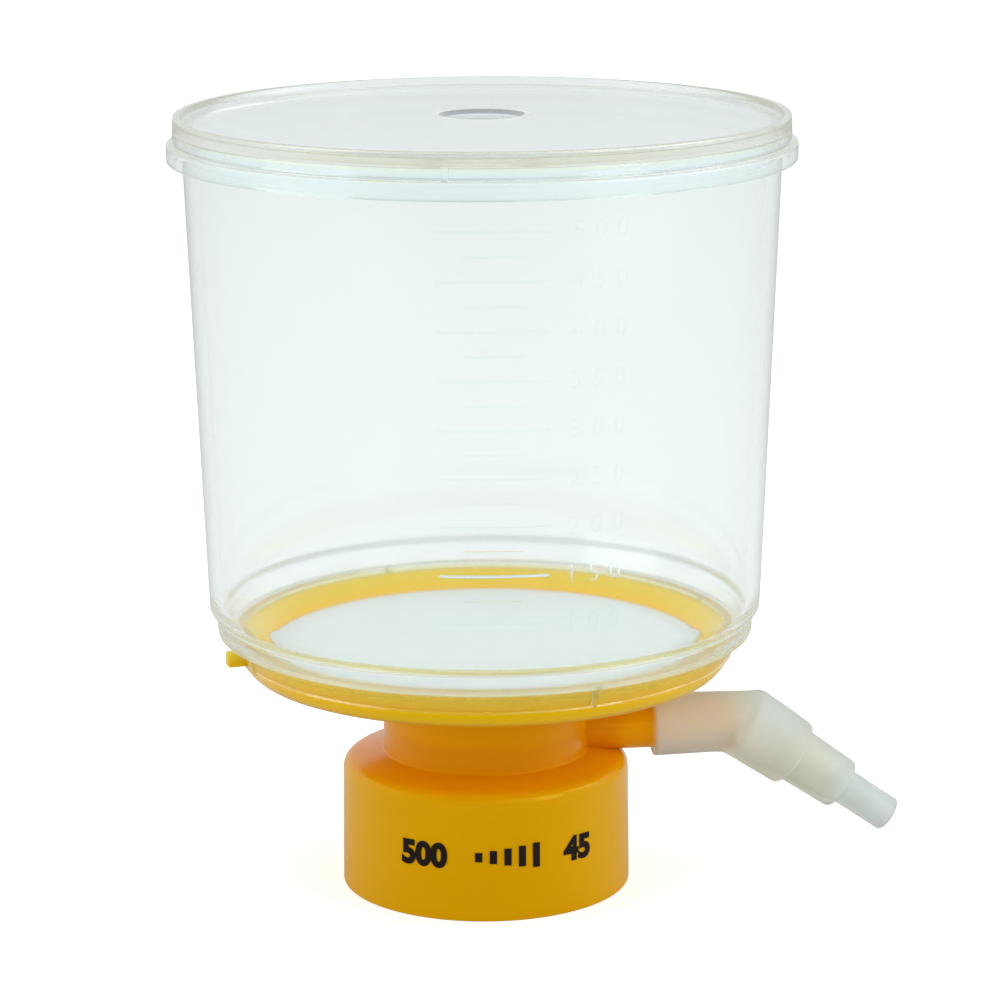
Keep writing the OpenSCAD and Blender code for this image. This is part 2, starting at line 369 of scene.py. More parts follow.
class Garden(Nodes):
    """A Geometry Nodes tree with named inputs."""

    KINDS = {float: "NodeSocketFloat", int: "NodeSocketInt", bpy.types.Material: "NodeSocketMaterial"}

    def __init__(self, name: str, material: bpy.types.Material, inputs: dict[str, float | int]) -> None:
        """Starts a tree.

        Args:
            name: The tree's name, which its object also gets.
            material: What the object is made of, which is an input too.
            inputs: Its other named inputs and their values.
        """
        super().__init__(bpy.data.node_groups.new(name, "GeometryNodeTree"))
        self.name = name
        self.values = {**inputs, "Material": material}
        sockets = self.tree.interface
        sockets.new_socket("Geometry", in_out="OUTPUT", socket_type="NodeSocketGeometry")
        for label, value in self.values.items():
            sockets.new_socket(label, in_out="INPUT", socket_type=self.KINDS[type(value)])
        self.given = self.add("NodeGroupInput").outputs
        self.exit = self.add("NodeGroupOutput")

    def vector(self, x: object = 0.0, y: object = 0.0, z: object = 0.0) -> Socket:
        """Adds a Combine XYZ node and returns its vector."""
        return self.first("ShaderNodeCombineXYZ", {"X": x, "Y": y, "Z": z})

    def spot(self) -> bpy.types.Node:
        """Adds the position of each point, split into X, Y and Z."""
        return self.add("ShaderNodeSeparateXYZ", {0: self.first("GeometryNodeInputPosition")})

    def moved(self, geometry: Socket, **change: object) -> Socket:
        """Moves, turns or stretches a geometry by Translation, Rotation or Scale."""
        return self.first("GeometryNodeTransform", {"Geometry": geometry, **change})

    def spread(self, points: Socket, instance: Socket, **change: object) -> Socket:
        """Puts an instance on each point, with a Rotation or a Scale."""
        return self.first("GeometryNodeInstanceOnPoints", {"Points": points, "Instance": instance, **change})

    def real(self, geometry: Socket) -> Socket:
        """Turns instances into plain geometry."""
        return self.first("GeometryNodeRealizeInstances", {"Geometry": geometry})

    def sweep(self, curve: Socket, profile: Socket, **more: object) -> Socket:
        """Sweeps a profile along a curve and closes the ends."""
        return self.first(
            "GeometryNodeCurveToMesh", {"Curve": curve, "Profile Curve": profile, "Fill Caps": True, **more}
        )

    def level_sweep(self, curve: Socket, profile: Socket) -> Socket:
        """Sweeps a profile along a level curve, with the profile's second axis upright."""
        return self.sweep(self.first("GeometryNodeSetCurveNormal", {"Curve": curve}, mode="Z_UP"), profile)

    def grow(self, last: Socket) -> bpy.types.Object:
        """Ends the tree, bakes it and returns the plain object.

        Args:
            last: The geometry that the tree makes.

        Returns:
            The new object, with no modifier left on it.
        """
        smooth = self.first("GeometryNodeSetShadeSmooth", {"Geometry": self.real(last)})
        made_of = {"Geometry": smooth, "Material": self.given["Material"]}
        paint = self.first("GeometryNodeSetMaterial", made_of)
        self.tree.links.new(paint, self.exit.inputs[0])
        piece = new_object(self.name, bpy.data.meshes.new(self.name))
        growth = piece.modifiers.new("growth", "NODES")
        growth.node_group = self.tree
        for item in self.tree.interface.items_tree:
            if item.in_out == "INPUT":
                growth[item.identifier] = self.values[item.name]
        settle(piece)
        tidy_mesh(piece.data)
        return piece


# ---------------------------------------------------------------- finishes


class Shade(Nodes):
    """A material's node tree."""

    def __init__(self, name: str) -> None:
        """Starts a material with an empty tree."""
        self.material = bpy.data.materials.new(name)
        self.material.use_nodes = True
        super().__init__(self.material.node_tree)
        self.tree.nodes.clear()
        self.out = self.add("ShaderNodeOutputMaterial")
        self.place = self.add("ShaderNodeTexCoord").outputs["Object"]

    def group(self, tree: bpy.types.NodeTree, inputs: dict) -> bpy.types.Node:
        """Adds a shared effect at the surface's own place, with its own values."""
        return self.add("ShaderNodeGroup", {"Place": self.place, **inputs}, node_tree=tree)

    def mix(self, share: object, under: object, over: object) -> Socket:
        """Mixes two colours."""
        mixed = self.add("ShaderNodeMix", {"Factor": share, 6: under, 7: over}, data_type="RGBA")
        return mixed.outputs[2]

    def blend(self, share: Socket, under: Socket, over: Socket) -> Socket:
        """Mixes two surfaces."""
        return self.first("ShaderNodeMixShader", {"Fac": share, 1: under, 2: over})

    def banded(self, effects: "Effects", colour: object, bands: Sequence["Band"]) -> object:
        """Lays bands of other colours over a colour, or of other greys over a plain value.

        Args:
            effects: The shared effects.
            colour: The colour or socket under the bands.
            bands: The bands, lowest layer first.

        Returns:
            The mixed colour, or the first one where there is no band.
        """
        for band in bands:
            limits = {
                f"{axis} {end}": limit * MM
                for axis, pair in (("Z", band.z), ("R", band.r), ("Y", band.y))
                for end, limit in zip(("low", "high"), pair)
            }
            mask = self.group(effects.zone_mask, {**limits, "Fade": band.fade * MM})
            colour = self.mix(mask.outputs["Mask"], colour, band.colour)
        return colour

    def bump(self, height: Socket, depth_mm: float) -> Socket:
        """Adds a bump of a given depth and returns its normal."""
        return self.first("ShaderNodeBump", {"Height": height, "Strength": 1.0, "Distance": depth_mm * MM})

    def finish(self, surface: Socket) -> bpy.types.Material:
        """Ends the tree at a surface shader."""
        self.tree.links.new(surface, self.out.inputs["Surface"])
        return self.material


class Effect(Nodes):
    """A shared shader effect: a group that takes a Place and some numbers."""

    def __init__(self, name: str, numbers: dict[str, float], results: Sequence[str]) -> None:
        """Starts a group.

        Args:
            name: The group's name.
            numbers: Its number inputs and their usual values.
            results: Its outputs.
        """
        super().__init__(bpy.data.node_groups.new(name, "ShaderNodeTree"))
        sockets = self.tree.interface
        sockets.new_socket("Place", in_out="INPUT", socket_type="NodeSocketVector")
        for label, value in numbers.items():
            sockets.new_socket(label, in_out="INPUT", socket_type="NodeSocketFloat").default_value = value
        for label in results:
            sockets.new_socket(label, in_out="OUTPUT", socket_type="NodeSocketFloat")
        self.given = self.add("NodeGroupInput").outputs
        self.exit = self.add("NodeGroupOutput")

    def give(self, label: str, value: Socket) -> None:
        """Wires a value to one of the outputs."""
        self.tree.links.new(value, self.exit.inputs[label])


def make_grain() -> bpy.types.NodeTree:
    """Builds the shared grain effect: fine noise over a slow cloudy drift.

    Returns:
        The group. It puts out Fine and Drift, from 0 to 1, and Level, which runs from Low to High.
    """
    numbers = {"Fine scale": 3000.0, "Drift scale": 60.0, "Low": 0.2, "High": 0.3}
    effect = Effect("mould_grain", numbers, ("Fine", "Drift", "Level"))
    given = effect.given
    noise = {}
    for label, detail in (("Fine", 3.0), ("Drift", 2.0)):
        inputs = {"Detail": detail, "Vector": given["Place"], "Scale": given[f"{label} scale"]}
        noise[label] = effect.first("ShaderNodeTexNoise", inputs)
        effect.give(label, noise[label])
    both = effect.math("MULTIPLY_ADD", noise["Drift"], 0.5, effect.math("MULTIPLY", noise["Fine"], 0.5))
    level = effect.ramp(both, from_min=0.3, from_max=0.7, to_min=given["Low"], to_max=given["High"])
    effect.give("Level", level)
    return effect.tree


def make_zone_mask() -> bpy.types.NodeTree:
    """Builds the shared zone mask: 1 between two heights, two radii and two distances along Y.

    Returns:
        The group. It takes Place, the six limits and the Fade in metres and puts out Mask.
    """
    labels = [f"{axis} {end}" for axis in "ZRY" for end in ("low", "high")]
    effect = Effect("zone_mask", dict.fromkeys([*labels, "Fade"], 0.0), ("Mask",))
    given = effect.given
    split = effect.add("ShaderNodeSeparateXYZ", {0: given["Place"]}).outputs
    level = {0: given["Place"], 1: (1.0, 1.0, 0.0)}
    flat = effect.first("ShaderNodeVectorMath", level, operation="MULTIPLY")
    radius = effect.add("ShaderNodeVectorMath", {0: flat}, operation="LENGTH").outputs["Value"]
    mask = 1.0
    for axis, measure in (("Z", split["Z"]), ("R", radius), ("Y", split["Y"])):
        for larger, smaller in ((measure, given[f"{axis} low"]), (given[f"{axis} high"], measure)):
            inside = effect.math("SUBTRACT", larger, smaller)
            fade = effect.ramp(inside, "SMOOTHSTEP", from_min=0.0, from_max=given["Fade"])
            mask = effect.math("MINIMUM", mask, fade)
    effect.give("Mask", mask)
    return effect.tree


@dataclass(frozen=True)
class Band:
    """A value laid over part of a piece, with the fade inside its limits, all in mm."""

    z: tuple[float, float]
    fade: float
    colour: Colour
    r: tuple[float, float] = (-100.0, 500.0)
    y: tuple[float, float] = (-500.0, 500.0)


@dataclass(frozen=True)
class Effects:
    """The shared shader effects."""

    grain: bpy.types.NodeTree
    zone_mask: bpy.types.NodeTree


@dataclass(frozen=True)
class ClearPlastic:
    """Clear polystyrene: glassy, faintly cool, with slow flow ripples from its mould."""

    name: str = "clear_polystyrene"
    tint: Colour = (0.945, 0.975, 0.972, 1.0)
    shadow: Colour = (0.965, 0.975, 0.975, 1.0)
    ior: float = 1.59
    rough: tuple[float, float] = (0.015, 0.035)
    ripple_mm: float = 0.004
    fine_scale: float = 260.0
    drift_scale: float = 45.0
    guided: Colour = (0.96, 0.945, 0.87, 1.0)
    guided_after: float = 9.0
    bands: tuple[Band, ...] = ()
    misty: tuple[Band, ...] = ()

    def material(self, effects: Effects) -> bpy.types.Material:
        """Builds the material. Rays that have crossed many surfaces go straight on with a pale tint."""
        shade = Shade(self.name)
        low, high = self.rough
        scales = {"Fine scale": self.fine_scale, "Drift scale": self.drift_scale}
        texture = shade.group(effects.grain, {**scales, "Low": low, "High": high}).outputs
        glass = shade.first(
            "ShaderNodeBsdfPrincipled",
            {
                "Base Color": shade.banded(effects, self.tint, self.bands),
                "Roughness": shade.banded(effects, texture["Level"], self.misty),
                "IOR": self.ior,
                "Transmission Weight": 1.0,
                "Normal": shade.bump(texture["Drift"], self.ripple_mm),
            },
        )
        path = shade.add("ShaderNodeLightPath").outputs
        deep = shade.math("GREATER_THAN", path["Ray Depth"], self.guided_after)
        tint = shade.mix(deep, self.shadow, self.guided)
        straight = shade.first("ShaderNodeBsdfTransparent", {"Color": tint})
        passes = shade.math("MAXIMUM", path["Is Shadow Ray"], deep)
        return shade.finish(shade.blend(passes, glass, straight))


@dataclass(frozen=True)
class SolidPlastic:
    """Opaque or milky moulded plastic."""

    name: str
    colour: Colour
    deep: Colour
    rough: tuple[float, float] = (0.2, 0.3)
    ior: float = 1.55
    scatter: float = 0.0
    scatter_mm: tuple[float, float, float] = (1.0, 0.5, 0.1)
    clear: float = 0.0
    grain_mm: float = 0.002
    fine_scale: float = 3500.0
    drift_scale: float = 70.0
    gloss_tint: Colour = WHITE
    shine_through: float = 0.0
    bands: tuple[Band, ...] = ()

    def material(self, effects: Effects) -> bpy.types.Material:
        """Builds the material. Where light shines through, a share of the shadow rays goes straight on."""
        shade = Shade(self.name)
        low, high = self.rough
        scales = {"Fine scale": self.fine_scale, "Drift scale": self.drift_scale}
        texture = shade.group(effects.grain, {**scales, "Low": low, "High": high}).outputs
        colour = shade.mix(texture["Drift"], self.deep, self.colour)
        body = shade.first(
            "ShaderNodeBsdfPrincipled",
            {
                "Base Color": shade.banded(effects, colour, self.bands),
                "Roughness": texture["Level"],
                "IOR": self.ior,
                "Specular Tint": self.gloss_tint,
                "Transmission Weight": self.clear,
                "Subsurface Weight": self.scatter,
                "Subsurface Radius": self.scatter_mm,
                "Subsurface Scale": MM,
                "Normal": shade.bump(texture["Fine"], self.grain_mm),
            },
        )
        if not self.shine_through:
            return shade.finish(body)
        straight = shade.first("ShaderNodeBsdfTransparent", {"Color": self.colour})
        shadow = shade.add("ShaderNodeLightPath").outputs["Is Shadow Ray"]
        share = shade.math("MULTIPLY", shadow, self.shine_through)
        return shade.finish(shade.blend(share, body, straight))


class Finish(Enum):
    """The finishes of the unit, each with a slot name as its value."""

    CLEAR = "clear_plastic"
    CLEAR_CUP = "clear_plastic_cup"
    CLEAR_LID = "clear_plastic_lid"
    YELLOW = "yellow_plastic"
    FROSTED = "frosted_plastic"
    MEMBRANE = "filter_membrane"
    SILICONE = "seal_rubber"
    COTTON = "cotton"
    INK = "ink"


LOOKS: dict[Finish, ClearPlastic | SolidPlastic] = {
    Finish.CLEAR: ClearPlastic(),
    Finish.CLEAR_CUP: ClearPlastic(
        "clear_polystyrene_cup",
        ior=1.54,
        rough=(0.04, 0.065),
        bands=(
            # painted glow: the near side of the shoulder line tinted yellow olive, as if lit by the yellow
            # base through the wall
            Band((48.1, 48.85), 0.15, (0.85, 0.77, 0.28, 1), y=(-60.0, 12.0)),
            # painted light: the near side of the skirt tinted pale lemon, standing in for the yellow base's
            # light through it
            Band((39.5, 44.0), 1.0, (0.92, 0.95, 0.72, 1), r=(38.0, 60.0), y=(-60.0, 0.0)),
            # painted shade: the far side of the shoulder line greyed
            Band((48.2, 48.85), 0.15, (0.92, 0.93, 0.90, 1), y=(12.0, 60.0)),
            # painted glow: an olive line all round the lower band, standing in for yellow light carried in
            # the wall
            Band((43.5, 44.6), 0.25, (0.86, 0.81, 0.42, 1)),
        ),
        misty=(
            Band((39.0, 48.5), 0.4, (0.09, 0.09, 0.09, 1)),
            Band((48.2, 49.0), 0.15, (0.3, 0.3, 0.3, 1)),
            Band((41.4, 46.6), 2.4, (0.4, 0.4, 0.4, 1), r=(38.0, 48.0), y=(-60.0, 0.0)),
            Band((40.0, 44.15), 0.1, (0.3, 0.3, 0.3, 1), r=(42.72, 44.0)),
        ),
    ),
    Finish.CLEAR_LID: ClearPlastic(
        "clear_polystyrene_lid",
        tint=(0.93, 0.975, 0.975, 1.0),
        guided=(0.965, 0.95, 0.89, 1.0),
        bands=(
            Band((127.2, 133.0), 0.6, (0.93, 0.96, 0.865, 1), r=(49.0, 60.0)),
            # painted shade: the far side of the crest greyed
            Band((127.2, 133.0), 0.6, (0.86, 0.90, 0.90, 1), r=(47.0, 60.0), y=(16.0, 60.0)),
            # painted shade: the far wall of the gate well darkened to a crescent
            Band((129.4, 130.15), 0.1, (0.24, 0.28, 0.29, 1), r=(5.5, 7.25), y=(0.0, 20.0)),
        ),
        misty=(Band((128.5, 133.0), 0.5, (0.2, 0.2, 0.2, 1), r=(47.5, 60.0)),),
    ),
    Finish.YELLOW: SolidPlastic(
        "yellow_polystyrene",
        (0.84, 0.435, 0.0, 1),
        (0.81, 0.405, 0.0, 1),
        (0.14, 0.19),
        scatter=0.2,
        scatter_mm=(1.2, 0.5, 0.02),
        ior=1.47,
        gloss_tint=(1.0, 0.8, 0.1, 1),
        bands=(
            # painted shade: neck, collar top and dish underside deepened to orange, as under the dish
            Band((20.6, 37.6), 1.6, (0.96, 0.40, 0.0, 1)),
            # painted shade: darker orange in the crease at the neck's foot
            Band((20.9, 29.0), 3.0, (0.86, 0.33, 0.0, 1), r=(0.0, 24.0)),
            # painted light: the port beyond the neck lightened to peach, as if lit through the sleeve
            Band((20.0, 31.0), 1.0, (1.0, 0.62, 0.2, 1), r=(28.0, 60.0)),
            # painted light: the rim's downward-facing strip lightened
            Band((38.0, 46.0), 1.0, (0.98, 0.58, 0.0, 1), r=(36.0, 60.0)),
            # painted light: the lip seen through the skirt lightened to lemon
            Band((40.6, 47.0), 2.4, (0.87, 0.61, 0.05, 1), r=(36.0, 60.0)),
            # painted shade: a thin dark orange line at the seat's inner wall
            Band((40.3, 41.6), 0.2, (0.93, 0.50, 0.04, 1), r=(36.8, 37.4)),
        ),
    ),
    Finish.FROSTED: SolidPlastic(
        "frosted_polypropylene",
        (0.84, 0.895, 0.87, 1),
        (0.82, 0.875, 0.85, 1),
        (0.50, 0.58),
        ior=1.4,
        scatter=0.9,
        scatter_mm=(6.0, 6.0, 5.4),
        clear=0.5,
        shine_through=0.75,
        grain_mm=0.006,
        bands=(
            # painted shade: the lower sleeve, arm and tip dulled to a darker beige grey
            Band((-40.0, 28.0), 8.0, (0.87, 0.87, 0.77, 1), r=(30.0, 64.0)),
            # painted light: the sleeve lightened and warmed, as if lit through
            Band((-40.0, 80.0), 14.0, (1.0, 0.98, 0.90, 1), r=(-20.0, 52.0)),
            # painted glow: the upper sleeve tinted peach, like the orange port's light through it
            Band((20.0, 60.0), 10.0, (1.0, 0.92, 0.74, 1), r=(-20.0, 47.0)),
        ),
    ),
    Finish.MEMBRANE: SolidPlastic(
        "porous_membrane", (0.91, 0.94, 0.935, 1), (0.89, 0.92, 0.915, 1), (0.75, 0.9), grain_mm=0.012
    ),
    Finish.SILICONE: SolidPlastic("silicone_rubber", (0.84, 0.84, 0.80, 1), (0.8, 0.8, 0.76, 1), (0.4, 0.5)),
    Finish.COTTON: SolidPlastic(
        "pressed_cotton",
        (0.9, 0.9, 0.87, 1),
        (0.8, 0.8, 0.77, 1),
        (0.9, 1.0),
        grain_mm=0.1,
        fine_scale=1800.0,
    ),
    Finish.INK: SolidPlastic(
        "black_ink", (0.012, 0.006, 0.003, 1), (0.016, 0.009, 0.004, 1), (0.5, 0.6), ior=1.25
    ),
}


class Palette:
    """All materials of the unit, built once."""

    def __init__(self) -> None:
        """Builds the shared effects and every finish."""
        effects = Effects(make_grain(), make_zone_mask())
        self.made = {finish: look.material(effects) for finish, look in LOOKS.items()}

    def __getitem__(self, finish: Finish) -> bpy.types.Material:
        """The material of a finish."""
        return self.made[finish]

    def dress(self, piece: bpy.types.Object, finish: Finish, slot: Finish | None = None) -> None:
        """Gives a piece one material.

        Args:
            piece: The piece.
            finish: Its finish.
            slot: Not used. slot: The finish whose record slot it takes, where that
                is another one.
        """
        piece.data.materials.clear()
        piece.data.materials.append(self.made[finish])


# ---------------------------------------------------------------- the sub-assemblies


@dataclass
class Part:
    """A sub-assembly that makes pieces, dresses them and hangs them on a body."""

    palette: Palette
    body: str = FILTER

    def place(
        self, piece: bpy.types.Object, finish: Finish, nodes: Sequence[str] = (), slot: Finish | None = None
    ) -> bpy.types.Object:
        """Dresses a piece, lets it ride and hides the CAD nodes that it stands for."""
        self.palette.dress(piece, finish, slot)
        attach(piece, self.body)
        if nodes:
            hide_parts(*nodes)
        LOG.info("%s: %d faces on %s", piece.name, len(piece.data.polygons), self.body)
        return piece


@dataclass
class Base(Part):
    """The yellow moulding: collar, neck, dish with its rim, drain nozzle and port."""

    collar_r: float = 24.3
    collar_top_r: float = 24.1
    collar_h: float = 21.4
    socket_r: float = 22.8
    relief_r: float = 23.2
    relief_z: float = 17.3
    neck_r: float = 17.25
    neck_bore_r: float = 15.15
    neck_foot: float = 22.9
    dish: float = 37.8
    rim_r: float = 41.3
    rim_foot_r: float = 39.35
    rim_ease: float = 3.0
    lip_foot_r: float = 40.4
    lip_r: float = 41.5
    lip_in_r: float = 40.2
    weld: float = 0.12
    seat_r: float = 37.2
    seat_wall: float = 0.2
    land_r: float = 35.2
    nozzle_r: float = 5.0
    drain_r: float = 3.7
    nozzle_tip: float = 23.8
    floor_t: float = 1.6
    floor_fall: float = 1.2
    port_r: float = 3.9
    port_bore_r: float = 2.5
    port_root: float = 0.6
    cut_past: float = 1.0
    lug_turn: float = 191.0
    lug_size: tuple[float, float, float] = (5.0, 2.4, 2.4)
    lug_out: float = 4.2
    lug_rise: float = 1.2
    lug_soft: float = 0.35
    thread_pitch: float = 4.0
    thread_turns: float = 3.2
    thread_low: float = 2.6
    thread_in: float = 0.15
    thread_r: float = 1.25
    thread_fade: float = 12.0
    thread_tip: float = 0.05
    ring_first: float = 8.2
    ring_pitch: float = 4.5
    ring_count: int = 6
    ring_w: float = 0.9
    ring_sink: float = 0.05
    channels: int = 8
    channel_w: float = 2.0

    def floor_z(self, r: float) -> float:
        """Height of the dish's floor at a radius."""
        slope = self.floor_fall / (self.land_r - self.drain_r)
        return self.dish + self.floor_t - slope * (self.land_r - r)

    def section(self) -> list[Corner]:
        """The base's section from the collar's foot round to the socket."""
        seat, lip = Extent.of("membrane").low[2], Extent.of("base").high[2]
        web = Extent.of("bottle_seal").high[2]
        under = [(r, self.floor_z(r) - self.floor_t) for r in (self.neck_r, self.nozzle_r, self.neck_bore_r)]
        side = ((0.0, 0.0, 0.5), (0.51, 0.33, 0.5), (0.85, 0.67, 0.5), (1.0, 0.95, 0.3))
        tuck = self.rim_r - self.rim_foot_r
        rise = seat - self.dish
        return [
            Corner(self.socket_r, 0.0, 0.35),
            Corner(self.collar_r, 0.0, 0.3),
            Corner(self.collar_top_r, self.collar_h, 1.9),
            Corner(self.neck_r, self.neck_foot, 0.3),
            Corner(*under[0], 0.8),
            Corner(self.rim_foot_r - self.rim_ease, self.dish, 0.5),
            *[Corner(self.rim_foot_r + tuck * a, self.dish + rise * b, soft) for a, b, soft in side],
            Corner(self.lip_foot_r + self.weld, seat, 0.05),
            Corner(self.lip_r + self.weld, lip - HAIR, 0.12),
            Corner(self.lip_in_r, lip - HAIR, 0.3),
            Corner(self.seat_r, seat + self.seat_wall, 0.2),
            Corner(self.seat_r, seat, 0.05),
            Corner(self.land_r, seat, 0.15),
            Corner(self.land_r, self.floor_z(self.land_r), 0.3),
            Corner(self.drain_r, self.floor_z(self.drain_r), 0.4),
            Corner(self.drain_r, self.nozzle_tip, 0.2),
            Corner(self.nozzle_r, self.nozzle_tip, 0.3),
            Corner(*under[1], 0.5),
            Corner(*under[2], 0.5),
            Corner(self.neck_bore_r, web, 0.3),
            Corner(self.relief_r, web, 0.2),
            Corner(self.relief_r, self.relief_z, 0.15),
            Corner(self.socket_r, self.relief_z, 0.1),
        ]

    def tube(self, name: str, start: float, end: float, radius: float, soft: float) -> bpy.types.Object:
        """A closed round bar along the port, between two distances from the axis."""
        plug = Extent.of("port_plug")
        foot = [Corner(0, start, 0), Corner(radius, start, 0.05)]
        bar = spin(name, [*foot, Corner(radius, end, soft), Corner(0, end, 0)], 96)
        return along_port(bar, plug.low[2] + plug.high[1])

    def shell(self) -> bpy.types.Object:
        """The moulding with its port and lug."""
        end, seat, root = Extent.of("base").high[0], Extent.of("membrane").low[2], self.neck_bore_r
        body = spin("base_moulding", self.section())
        combine(body, self.tube("port", root + self.port_root, end, self.port_r, 0.35), "UNION")
        bore = self.tube("port_bore", root - self.cut_past, end + self.cut_past, self.port_bore_r, 0.05)
        combine(body, bore, "DIFFERENCE")
        middle = self.lip_foot_r + self.lug_out - self.lug_size[0] / 2
        place = ray_place(self.lug_turn, middle, seat + self.lug_rise)
        combine(body, rounded_bar("lug", self.lug_size, place, self.lug_soft), "UNION")
        return body

    def thread(self) -> bpy.types.Object:
        """The ridge that the bottle's neck screws on to, wound up the socket's wall."""
        garden = Garden(
            "socket_thread",
            self.palette[Finish.YELLOW],
            {
                "Turns": self.thread_turns,
                "Pitch": self.thread_pitch * MM,
                "Radius": (self.socket_r + self.thread_in) * MM,
                "Start": self.thread_low * MM,
            },
        )
        given = garden.given
        height = garden.math("MULTIPLY", given["Turns"], given["Pitch"])
        coil = {"Resolution": 96, "Rotations": given["Turns"], "Height": height}
        width = {"Start Radius": given["Radius"], "End Radius": given["Radius"]}
        helix = garden.first("GeometryNodeCurveSpiral", coil | width)
        along = garden.add("GeometryNodeSplineParameter").outputs["Factor"]
        to_end = garden.math("MINIMUM", along, garden.math("SUBTRACT", 1.0, along))
        grown = garden.math("MULTIPLY_ADD", to_end, self.thread_fade, self.thread_tip)
        fade = garden.math("MINIMUM", grown, 1.0)
        round_bar = {"Resolution": 12, "Radius": self.thread_r * MM}
        ridge = garden.sweep(helix, garden.first("GeometryNodeCurvePrimitiveCircle", round_bar), Scale=fade)
        return garden.grow(garden.moved(ridge, Translation=garden.vector(z=given["Start"])))

    def support_rings(self) -> bpy.types.Object:
        """The rings under the membrane, broken by the drain channels."""
        seat = Extent.of("membrane").low[2]
        garden = Garden(
            "support_rings",
            self.palette[Finish.YELLOW],
            {
                "Count": self.ring_count,
                "First": self.ring_first * MM,
                "Pitch": self.ring_pitch * MM,
                "Gap": self.channel_w * MM,
                "Level": seat * MM,
            },
        )
        given = garden.given
        row = garden.first("GeometryNodeMeshLine", {"Count": given["Count"], "Offset": (0.0, 0.0, 0.0)})
        index = garden.first("GeometryNodeInputIndex")
        radius = garden.math("MULTIPLY_ADD", index, given["Pitch"], given["First"])
        circle = garden.first("GeometryNodeMeshCircle", {"Vertices": 360, "Radius": 1.0})
        rings = garden.spread(row, circle, Scale=garden.vector(radius, radius, 1.0))
        real = garden.real(rings)
        spot = garden.spot().outputs
        angle = garden.math("ARCTAN2", spot[1], spot[0])
        turned = garden.math("MULTIPLY", angle, self.channels / math.tau)
        turns = garden.math("ADD", float(self.channels), turned)
        off = garden.math("ABSOLUTE", garden.math("SUBTRACT", garden.math("FRACT", turns), 0.5))
        reach = garden.add("ShaderNodeVectorMath", {0: garden.vector(spot[0], spot[1])}, operation="LENGTH")
        swing = garden.math("MULTIPLY", off, math.tau / self.channels)
        across = garden.math("MULTIPLY", swing, reach.outputs["Value"])
        in_channel = garden.math("LESS_THAN", across, garden.math("MULTIPLY", given["Gap"], 0.5))
        kept = garden.first("GeometryNodeDeleteGeometry", {"Geometry": real, "Selection": in_channel})
        curve = garden.first("GeometryNodeMeshToCurve", {"Mesh": kept})
        height = seat - self.floor_z(self.drain_r)
        size = {"Width": self.ring_w * MM, "Height": height * MM}
        walls = garden.level_sweep(curve, garden.first("GeometryNodeCurvePrimitiveQuadrilateral", size))
        lower = garden.math("SUBTRACT", given["Level"], (height / 2 + self.ring_sink) * MM)
        return garden.grow(garden.moved(walls, Translation=garden.vector(z=lower)))

    def build(self) -> None:
        """Makes the base, its thread and its support rings."""
        self.place(self.shell(), Finish.YELLOW, ["base"])
        self.place(self.thread(), Finish.YELLOW)
        self.place(self.support_rings(), Finish.YELLOW)


@dataclass
class CollarPrint(Part):
    """Generic black print round the collar: plain numbers with tick bars between them."""

    radius: float = 24.3
    middle_turn: float = -92.7
    middle_z: float = 11.1
    digit_h: float = 4.4
    weight: float = 0.05
    thick: float = 0.05
    out: float = 0.012
    numbers: tuple[tuple[str, float], ...] = (("500", -29.0), ("45", 34.5))
    bars: int = 5
    bar_w: float = 1.2
    first_h: float = 1.6
    bar_gain: float = 0.65
    first_turn: float = -6.8
    bar_turn: float = 5.7

    def build(self) -> None:
        """Makes the print."""
        wall = self.radius + self.out
        for text, offset in self.numbers:
            turn = self.middle_turn + offset
            number = wrapped_text(
                f"print_{text}", text, self.digit_h, self.weight, turn, self.middle_z, wall, self.thick
            )
            self.place(number, Finish.INK, slot=Finish.YELLOW)
        for i in range(self.bars):
            turn = self.middle_turn + self.first_turn + i * self.bar_turn
            size = (self.thick, self.bar_w, self.first_h + self.bar_gain * i)
            bar = rounded_bar(f"print_bar_{i}", size, ray_place(turn, self.radius, self.middle_z), 0.02)
            self.place(bar, Finish.INK, slot=Finish.YELLOW)


def wrapped_text(
    name: str,
    text: str,
    height: float,
    weight: float,
    turn: float,
    z: float,
    radius: float,
    thick: float,
    spread: float = 1.0,
) -> bpy.types.Object:
    """Makes plain digits and bends them round a wall, facing outwards.

    Args:
        name: Name of the new object.
        text: The digits.
        height: Their height, in mm.
        weight: How far their strokes are fattened, as a share of the font size.
        turn: Where their middle lies, in degrees from the port.
        z: Height of their middle, in mm.
        radius: Radius of their outer face at that height, in mm.
        thick: Their thickness, in mm.
        spread: Distance from one to the next, as a share of the usual one.

    Returns:
        The new object.
    """
    curve = bpy.data.curves.new(name, "FONT")
    curve.body = text
    curve.align_x = "CENTER"
    curve.offset = weight
    curve.space_character = spread
    curve.extrude = 0.5
    curve.resolution_u = 6
    words = new_object(name, curve)
    mesh = baked(words)
    bpy.data.objects.remove(words)
    spots = np.array([v.co for v in mesh.vertices])
    low, high = spots.min(0), spots.max(0)
    size = height / (high[1] - low[1])
    across = (spots[:, 0] - (low[0] + high[0]) / 2) * size
    up = (spots[:, 1] - (low[1] + high[1]) / 2) * size
    out = radius - thick * (0.5 - spots[:, 2])
    angle = math.radians(turn) + across / radius
    bent = np.column_stack((out * np.cos(angle), out * np.sin(angle), up + z)) * MM
    mesh.vertices.foreach_set("co", bent.ravel())
    tidy_mesh(mesh)
    return new_object(name, mesh)


